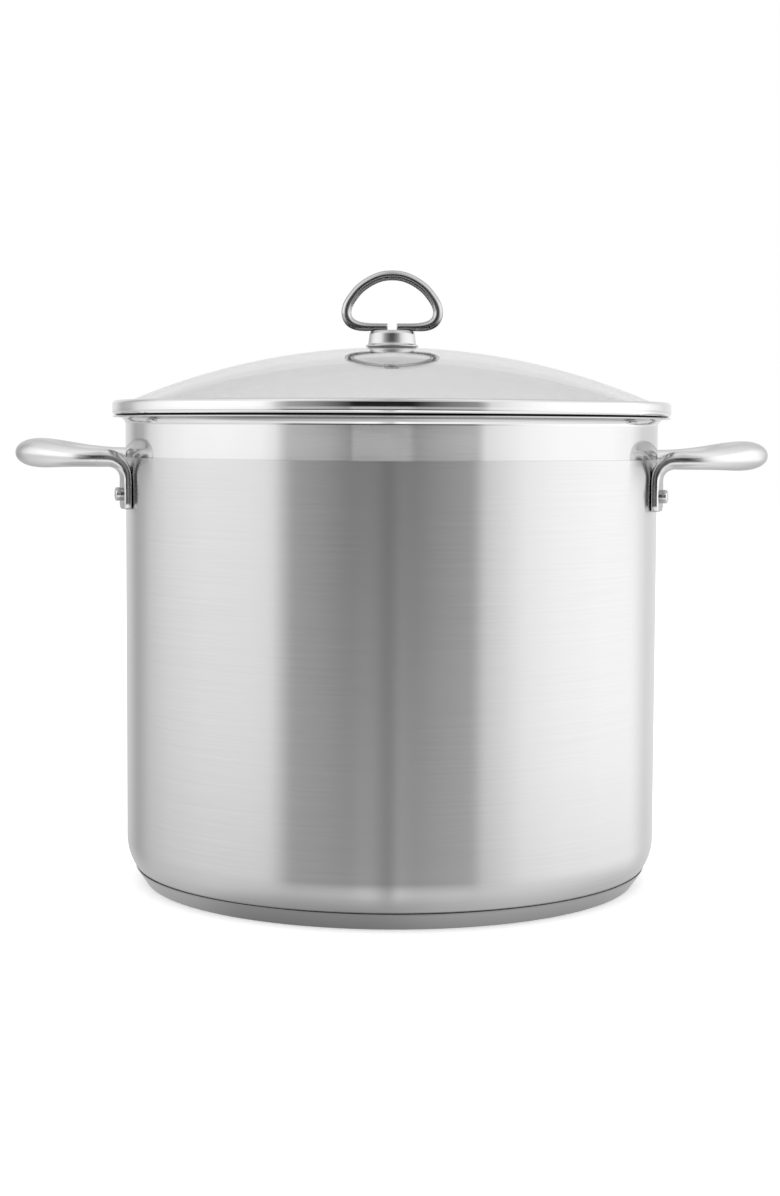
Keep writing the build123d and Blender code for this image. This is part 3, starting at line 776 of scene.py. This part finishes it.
for side, sign in (("right", 1), ("left", -1)):
    piece(
        f"side_handle_{side}_cast", handle_mesh(sign), HANDLE_CAST,
        "pot", f"side_handle_{side}", sharp=60,
    )

# Rivet outline: radius about its own axis, distance from the pot's axis.
RIVET_PROFILE = (
    [(0, 148.2)]
    + arc((4.4, 148.8), 0.6, -90, 0, 4)
    + arc((4.6, 149.5), 0.4, 0, 90, 3)
    + [(2.4, 149.9), (2.4, WALL_R + 4.15), (3.5, WALL_R + 4.15)]
    + arc((3.5, WALL_R + 4.45), 0.3, -90, 0, 3)
    + arc((2.7, WALL_R + 6.9), 1.1, 0, 62, 6)
    + [(2.0, WALL_R + 8.02), (1.0, WALL_R + 8.16), (0, WALL_R + 8.2)]
)


def rivet_mesh(heading):
    """Rivet through the wall, pointing outward at the given heading about Z."""
    outward = Vector((math.cos(heading), math.sin(heading), 0))
    sideways = Vector((-math.sin(heading), math.cos(heading), 0))
    up = Vector((0, 0, 1))
    origin = Vector((0, 0, RIVET_Z))

    def position(r, distance, angle):
        around = (sideways * math.cos(angle) + up * math.sin(angle)) * r
        return tuple((origin + outward * distance + around) * MM)

    return revolve(RIVET_PROFILE, 40, position)


for side, heading in (("right", 0.0), ("left", math.pi)):
    pair = join([rivet_mesh(heading + FOOT_ANGLE), rivet_mesh(heading - FOOT_ANGLE)])
    piece(f"rivets_{side}_heads", pair, RIVET, "pot", f"rivets_{side}")


# ---------------------------------------------------------------- lid
def glass_z(sphere_r, r):
    return GLASS_CENTER_Z + math.sqrt(sphere_r * sphere_r - r * r)


def glass_curve(sphere_r, radii, lift=0.0):
    return [(r, glass_z(sphere_r, r) + lift) for r in radii]


GLASS_HOLE = 4.5
edge_r = 2.0  # rounding of the glass edge
edge_center = (GLASS_EDGE - edge_r, glass_z(GLASS_R, GLASS_EDGE - edge_r) - edge_r)
glass_profile = (
    glass_curve(GLASS_R, spaced(GLASS_HOLE, GLASS_EDGE - 1.5, 60))
    + arc(edge_center, edge_r, 68, -110, 12)
    + glass_curve(GLASS_INNER_R, spaced(GLASS_EDGE - 3.0, GLASS_HOLE, 60))
)
piece(
    "lid_glass_dome", revolve(glass_profile), GLASS, "lid", "lid_glass", sharp=50
)

top_center = (BAND_R - TOP_CORNER, BAND_TOP - TOP_CORNER)
bottom_center = (BAND_R - BOTTOM_CORNER, BAND_BOTTOM + BOTTOM_CORNER)
top_inner, bottom_inner = TOP_CORNER - BAND_SHEET, BOTTOM_CORNER - BAND_SHEET
skirt_inner = SKIRT_R - BAND_SHEET
band_profile = (
    arc((150.7, BAND_TOP - 0.3), 0.3, 180, 90, 5)
    + line((150.7, BAND_TOP), (top_center[0], BAND_TOP), 4)
    + arc(top_center, TOP_CORNER, 90, 0, 22)
    + arc(bottom_center, BOTTOM_CORNER, 0, -90, 24)
    + arc((SKIRT_R + 1.0, BAND_BOTTOM - 1.0), 1.0, 90, 180, 8)
    + arc((148.3, 258.9), 0.3, 0, -180, 8)
    + [(skirt_inner, 266.8), (SKIRT_R, 266.8), (SKIRT_R, BAND_BOTTOM + BAND_SHEET)]
    + arc(bottom_center, bottom_inner, -90, 0, 10)
    + arc(top_center, top_inner, 0, 90, 10)
    + [(150.4, BAND_TOP - BAND_SHEET)]
)
piece("lid_band_ring", revolve(band_profile), LID_BAND, "lid", "lid_rim_band")

# The bedding fills the band around the glass edge, a hair clear of the glass.
gap = 0.02
bed_r = SKIRT_R + gap
bedding_profile = (
    [(150.55, BAND_TOP - BAND_SHEET), (top_center[0], BAND_TOP - BAND_SHEET)]
    + arc(top_center, top_inner, 90, 0, 8)
    + arc(bottom_center, bottom_inner, 0, -90, 8)
    + [(bed_r, BAND_BOTTOM + BAND_SHEET)]
    + glass_curve(GLASS_INNER_R, (bed_r, 150, 151, 152), -gap)
    + arc(edge_center, 2.05, -100, 68, 10)
    + glass_curve(GLASS_R, (152.3, 151.4, 150.55), gap)
)
piece(
    "lid_bedding_ring", revolve(bedding_profile), BEDDING,
    "lid", "lid_rim_bedding",
)

# ---------------------------------------------------------------- knob
# Centre line of the loop's +X half, from the middle of the bar upward: x, z.
HALF_LOOP = [
    (2.6, BAR_Z), (10.0, BAR_Z), (16.0, BAR_Z + 0.1), (20.6, BAR_Z + 0.95), (24.4, 318.6),
    (26.05, 322.9), (25.2, 327.7), (22.4, 332.4), (18.9, 336.6), (15.0, 339.7),
    (10.4, 342.3), (5.4, 344.0),
]
LOOP_TOP = (0, 344.5)


def knob_loop():
    """Bent rod in the XZ plane; its two ends face each other at the middle of the bar."""
    knots = HALF_LOOP + [LOOP_TOP] + [(-x, z) for x, z in reversed(HALF_LOOP)]
    travel = list(accumulate((math.dist(a, b) for a, b in zip(knots, knots[1:])), initial=0.0))
    end = travel[-1]
    along = np.concatenate(
        [
            [0, 0.15, 0.4, 0.7],
            np.linspace(1.2, end - 1.2, 170),
            [end - 0.7, end - 0.4, end - 0.15, end],
        ]
    )
    path_x = natural_spline(travel, [x for x, z in knots], along)
    path_z = natural_spline(travel, [z for x, z in knots], along)
    path = [Vector((x, 0.0, z)) for x, z in zip(path_x, path_z)]

    def section(i):
        """Round, pressed a little flatter toward the ends, with a small edge break."""
        from_end = min(along[i], end - along[i])
        trim = 1.0
        if from_end <= 0.7:
            trim = 0.8 + 0.2 * math.sqrt(max(0.0, 1 - (1 - from_end / 0.7) ** 2))
        t = min(1.0, max(0.0, (from_end - 5.0) / 18.0))
        t = t * t * (3 - 2 * t)
        return ellipse((2.45 + 0.35 * t) * trim, (2.12 + 0.68 * t) * trim, 36)

    frames = [cross_frame(Vector((0, 1, 0)), tangent) for tangent in tangents(path)]
    return sweep(path, section, frames=frames)


piece("knob_loop_rod", knob_loop(), KNOB_ROD, "lid", "knob_loop", sharp=50)

# Flank of the post above its bead: radius, height above the post's bottom.
POST_FLANK = (
    (14.2, 1.24), (13.95, 1.38), (13.75, 1.7), (13.62, 2.2), (13.5, 2.9), (13.35, 4.0),
    (13.15, 5.4),
)
post_profile = (
    [(0, POST_BOTTOM), (14.6, POST_BOTTOM)]
    + arc((14.3, POST_BOTTOM + 0.6), 0.6, -80, 80, 8)
    + [(r, POST_BOTTOM + height) for r, height in POST_FLANK]
    + [(13.02, POST_TOP - 2.6)]
    + arc((10.4, POST_TOP - 2.6), 2.6, 0, 78, 14)
    + [(8.0, POST_TOP + 0.02), (5.0, POST_TOP + 0.06), (0, POST_TOP + 0.08)]
)
piece(
    "knob_post_drum", revolve(post_profile, 160), KNOB_POST, "lid", "knob_post"
)

gasket_r = 13.5
upper_gasket_profile = [(BORE, POST_BOTTOM), (gasket_r, POST_BOTTOM)] + glass_curve(
    GLASS_R, spaced(gasket_r, BORE, 8), 0.01
)
piece(
    "knob_gasket_upper", revolve(upper_gasket_profile, 96), PALE_SEAL,
    "lid", "knob_upper_gasket",
)

bush_profile = [(2.2, 299.3), (4.2, 299.3), (4.4, 299.5), (4.4, 303.0), (2.2, 303.0)]
piece(
    "knob_bush_sleeve", revolve(bush_profile, 64), PALE_SEAL,
    "lid", "knob_bush",
)


def cup_z(sphere_r, r):
    return CUP_BOTTOM + CUP_R - math.sqrt(sphere_r * sphere_r - r * r)


cup_inner_r = CUP_R - CUP_SHEET
cup_edge, cup_lip = 26.0, 26.25
cup_profile = (
    [(r, cup_z(CUP_R, r)) for r in spaced(BORE, cup_edge, 20)]
    + [(cup_lip, cup_z(CUP_R, cup_edge) + 0.25), (cup_lip, cup_z(cup_inner_r, cup_edge) - 0.1)]
    + [(r, cup_z(cup_inner_r, r)) for r in spaced(cup_edge, BORE, 20)]
)
piece(
    "knob_cup_dish", revolve(cup_profile, 128), CUP, "lid", "knob_lower_cup"
)

# Ring between the cup's upper face and the underside of the glass.
ring_radii = (24.6, 26.2)
lower_gasket_profile = [(r, cup_z(cup_inner_r, r) + gap) for r in ring_radii] + glass_curve(
    GLASS_INNER_R, ring_radii[::-1], -gap
)
piece(
    "knob_gasket_lower", revolve(lower_gasket_profile, 96), WHITE_SEAL,
    "lid", "knob_lower_gasket",
)

washer_profile = [
    (2.2, 294.7), (5.0, 294.7), (5.2, 294.9), (5.2, 295.3), (5.0, 295.45), (2.2, 295.45)
]
piece("knob_washer_ring", revolve(washer_profile, 64), CUP, "lid", "knob_washer")


def press_cross_recess(screw):
    """Pushes a cross-shaped recess up into the middle of the head, which faces down."""
    head_limit_z, reach, half_slot, depth = 293.0, 2.6, 0.6, 1.0
    for vertex in screw.data.vertices:
        x, y, z = vertex.co.x / MM, vertex.co.y / MM, vertex.co.z / MM
        if z < head_limit_z and math.hypot(x, y) < reach:
            if abs(x) < half_slot or abs(y) < half_slot:
                vertex.co.z = (z + depth) * MM


screw_profile = (
    [(r, 292.23 + 0.012 * r * r) for r in np.linspace(0, 3.4, 18)]
    + arc((3.4, 293.45), 1.15, -80, 0, 6)
    + [(4.6, 294.6), (2.0, 294.63), (2.0, 310.2), (1.6, 310.8), (0, 310.8)]
)
screw = make_object("knob_screw_pan", revolve(screw_profile, 72), [CUP])
press_cross_recess(screw)
register(screw, "lid", "knob_screw")


# ---------------------------------------------------------------- jar rack
def rack_piece(name, mesh, node_name, body="rack", sharp=60):
    piece(name, mesh, RACK_WIRE, body, node_name, sharp)


def around_axis(path, count, wire, sides=24):
    """Copies of a wire in the XZ plane, evenly turned about Z."""
    copies = []
    for k in range(count):
        a = math.radians(360 // count * k)
        turned = [(x * math.cos(a), x * math.sin(a), z) for x, _, z in path]
        copies.append(tube(turned, wire, sides=sides))
    return join(copies)


def arch(x, half_width, foot_z, top_z, corner, count=10):
    """Upside-down U at a fixed x, open at the bottom."""
    corners = [
        (x, -half_width, foot_z), (x, -half_width, top_z),
        (x, half_width, top_z), (x, half_width, foot_z),
    ]
    return fillet_path(corners, corner, count)


base_ring = tube(circle_path(RACK_R, z=19.5), wire=2.5, closed=True)
rack_piece("rack_base_ring_wire", base_ring, "rack_base_ring", sharp=38)

inner_rings = join(
    [tube(circle_path(r, z=20.0), wire=2.0, closed=True) for r in (100.0, 60.0, 20.0)]
)
rack_piece("rack_inner_rings_wire", inner_rings, "rack_inner_rings", sharp=38)

spoke_path = [(r, 0, 24.02) for r in (19.0, 20.5, 40, 80, 120, 136.5, RACK_R)]
rack_piece("rack_spoke_wires", around_axis(spoke_path, count=12, wire=2.0), "rack_spokes")

divider_path = fillet_path(
    [(54.0, 0, 26.04), (54.0, 0, 110.0), (126.0, 0, 110.0), (126.0, 0, 26.04)], radius=12
)
dividers = around_axis(divider_path, count=6, wire=1.5, sides=20)
rack_piece("rack_divider_wires", dividers, "rack_dividers")

center_ring = tube(circle_path(50.98, z=76.0), wire=1.5, closed=True, sides=20)
rack_piece("rack_center_ring_wire", center_ring, "rack_center_ring", sharp=38)

uprights = join(
    [
        tube(arch(x, half_width=30.0, foot_z=22.02, top_z=UPRIGHT_TOP, corner=5), wire=2.0)
        for x in (UPRIGHT_X, -UPRIGHT_X)
    ]
)
rack_piece("rack_upright_wires", uprights, "rack_uprights")

foot_path = fillet_path(
    [(100.0, 0, 17.98), (100.0, 0, 8.9), (RACK_R, 0, 8.9), (RACK_R, 0, 16.95)],
    radius=3,
    count=8,
)
rack_piece("rack_foot_wires", around_axis(foot_path, count=6, wire=2.0), "rack_feet")


def bail_mesh(x):
    """Lifting arch whose legs end in eyes around the upright's top wire."""
    half_width, eye_r, wire = 23.0, 4.3, 1.8
    path = arch(x, half_width, UPRIGHT_TOP + eye_r, top_z=236.2, corner=12, count=14)
    parts = [tube(path, wire)]
    for y in (-half_width, half_width):
        eye = [(x + a, y, UPRIGHT_TOP + b) for a, b in ellipse(eye_r, eye_r, 48)]
        parts.append(tube(eye, wire, closed=True, sides=20))
    return join(parts)


for side, x in (("right", UPRIGHT_X), ("left", -UPRIGHT_X)):
    rack_piece(
        f"rack_bail_{side}_wire", bail_mesh(x), f"rack_handle_{side}", body=f"rack_bail_{side}"
    )


# ---------------------------------------------------------------- floor
def build_floor():
    """Large square just below z = 0, hidden from reflections; sizes in metres."""
    half, z = 6.0, -0.0002
    data = bpy.data.meshes.new("studio_floor")
    corners = [(-half, -half, z), (half, -half, z), (half, half, z), (-half, half, z)]
    data.from_pydata(corners, [], [(0, 1, 2, 3)])
    floor = bpy.data.objects.new("studio_floor", data)
    bpy.context.scene.collection.objects.link(floor)
    data.materials.append(floor_paper("studio_floor_paper"))
    floor.visible_glossy = False
    floor.visible_transmission = False


build_floor()

# ---------------------------------------------------------------- studio surround
# Brightness by azimuth in degrees (0 toward the camera, + to the right): a wide soft panel
# on each side, a grey gap behind the camera with one lighter card in it, a pale rear wall
# and a pale floor. One table for each band of elevation, from below to above.
FLOOR_NEAR = [
    (-180, 0.70), (-142, 0.50), (-120, 0.58), (-88, 0.60), (-52, 0.62), (-40, 0.62),
    (-12, 0.66), (14, 0.66), (38, 0.80), (88, 1.00), (128, 0.85), (180, 0.70),
]
FLOOR_FAR = [
    (-180, 0.70), (-128, 0.90), (-88, 1.05), (-54, 0.95), (-46, 1.00), (-40, 1.02),
    (-18, 1.12), (-13, 1.32), (-7, 1.30), (-3, 0.95), (0, 0.80), (3.5, 1.45), (7, 1.30),
    (12, 1.20), (34, 1.22), (41, 1.10), (56, 1.10), (88, 1.05), (128, 0.90), (180, 0.70),
]
LOW = [
    (-180, 0.80), (-152, 0.70), (-140, 0.50), (-126, 0.78), (-108, 0.90), (-88, 0.92),
    (-60, 0.96), (-52, 0.92), (-47, 0.55), (-42, 0.12), (-16, 0.05), (9, 0.05), (34, 0.12),
    (37, 0.40), (39.5, 0.70), (48, 0.92), (58, 1.28), (76, 1.46), (100, 1.54), (126, 1.48),
    (142, 0.95), (180, 0.80),
]
EYE = [
    (-180, 0.86), (-154, 0.82), (-142, 0.52), (-132, 0.60), (-124, 1.00), (-112, 1.26),
    (-95, 1.40), (-76, 1.44), (-56, 1.38), (-49, 1.20), (-46.5, 0.96), (-43.5, 0.76),
    (-36, 0.72), (-26, 0.66), (-16.8, 0.50), (-15.6, 0.69), (7.8, 0.69), (9.0, 0.52),
    (20, 0.64), (35.5, 0.76), (37.4, 0.92), (39.2, 1.14), (48, 1.27), (58, 1.40),
    (76, 1.50), (106, 1.50), (122, 1.34), (134, 0.95), (150, 0.88), (180, 0.86),
]
HIGH = [
    (-180, 0.92), (-154, 0.88), (-142, 0.55), (-132, 0.66), (-124, 1.00), (-110, 1.32),
    (-88, 1.55), (-64, 1.50), (-53, 1.42), (-49, 1.20), (-45.5, 0.80), (-41, 0.50),
    (-30, 0.34), (-17, 0.08), (-15, 0.02), (8, 0.02), (10, 0.05), (22, 0.25), (34, 0.40),
    (37, 0.66), (39.5, 1.00), (48, 1.22), (58, 1.40), (74, 1.55), (98, 1.60), (118, 1.55),
    (130, 1.30), (146, 0.95), (180, 0.92),
]
TOP = [
    (-180, 0.95), (-120, 1.05), (-60, 1.25), (-30, 0.85), (0, 0.63), (30, 0.85),
    (60, 1.25), (120, 1.05), (180, 0.95),
]
# Band above FLOOR_NEAR, and the elevations in degrees over which it fades in.
BAND_FADES = (
    (FLOOR_FAR, (-52.0, -40.0)), (LOW, (-24.0, -10.0)), (EYE, (-1.25, -1.05)),
    (HIGH, (0.15, 0.45)), (TOP, (24.0, 34.0)),
)
RAMP_SCALE = 2.0  # ramps hold brightness divided by this, which keeps them below 1
DIFFUSE_LEVEL = 1.22
CAMERA_LEVEL = 1.0


def build_world():
    """Plain white for the camera, an even level for diffuse rays, a lit room for the rest."""
    world = bpy.data.worlds.new("studio_surround")
    bpy.context.scene.world = world
    world.use_nodes = True
    tree = world.node_tree
    tree.nodes.clear()
    output = node(tree, "ShaderNodeOutputWorld")
    background = node(tree, "ShaderNodeBackground")
    feed(tree, output, {0: background.outputs[0]})
    coords = node(tree, "ShaderNodeTexCoord").outputs["Generated"]
    ray = node(tree, "ShaderNodeSeparateXYZ", {0: coords}).outputs
    toward_camera = calculate(tree, "MULTIPLY", ray["Y"], -1.0)
    azimuth = calculate(tree, "ARCTAN2", ray["X"], toward_camera)
    azimuth = remap(tree, azimuth, (-math.pi, math.pi))
    elevation = calculate(tree, "ARCSINE", ray["Z"])
    elevation = calculate(tree, "MULTIPLY", elevation, 180.0 / math.pi)

    def band(stops):
        scaled = [(place, value / RAMP_SCALE) for place, value in stops]
        return calculate(tree, "MULTIPLY", grey_ramp(tree, azimuth, scaled), RAMP_SCALE)

    def blend(factor, below, above):
        inputs = {"Factor": factor, "A": below, "B": above}
        return node(tree, "ShaderNodeMix", inputs, data_type="FLOAT").outputs["Result"]

    room = band(FLOOR_NEAR)
    for stops, fade in BAND_FADES:
        room = blend(remap(tree, elevation, fade), room, band(stops))
    light_path = node(tree, "ShaderNodeLightPath").outputs
    room = blend(light_path["Is Diffuse Ray"], room, DIFFUSE_LEVEL)
    room = blend(light_path["Is Camera Ray"], room, CAMERA_LEVEL)
    feed(tree, background, {"Color": room, "Strength": 1.0})


build_world()


# ---------------------------------------------------------------- camera
def build_camera():
    """Camera on the -Y side, tipped slightly down; place and clipping in metres."""
    place = (-0.0005, -1.2262, 0.2567)
    pitch, roll = 0.0782, 0.0048  # radians
    data = bpy.data.cameras.new("photo_camera")
    camera = bpy.data.objects.new("photo_camera", data)
    bpy.context.scene.collection.objects.link(camera)
    data.sensor_fit = "VERTICAL"
    data.sensor_height = 36.0
    data.lens = 64.381605
    data.clip_start = 0.05
    data.clip_end = 60
    camera.matrix_world = (
        Matrix.Translation(place)
        @ Matrix.Rotation(math.pi / 2 - pitch, 4, "X")
        @ Matrix.Rotation(roll, 4, "Z")
    )
    bpy.context.scene.camera = camera


build_camera()
bpy.context.scene.view_settings.view_transform = "Standard"
bpy.context.scene.view_settings.look = "None"
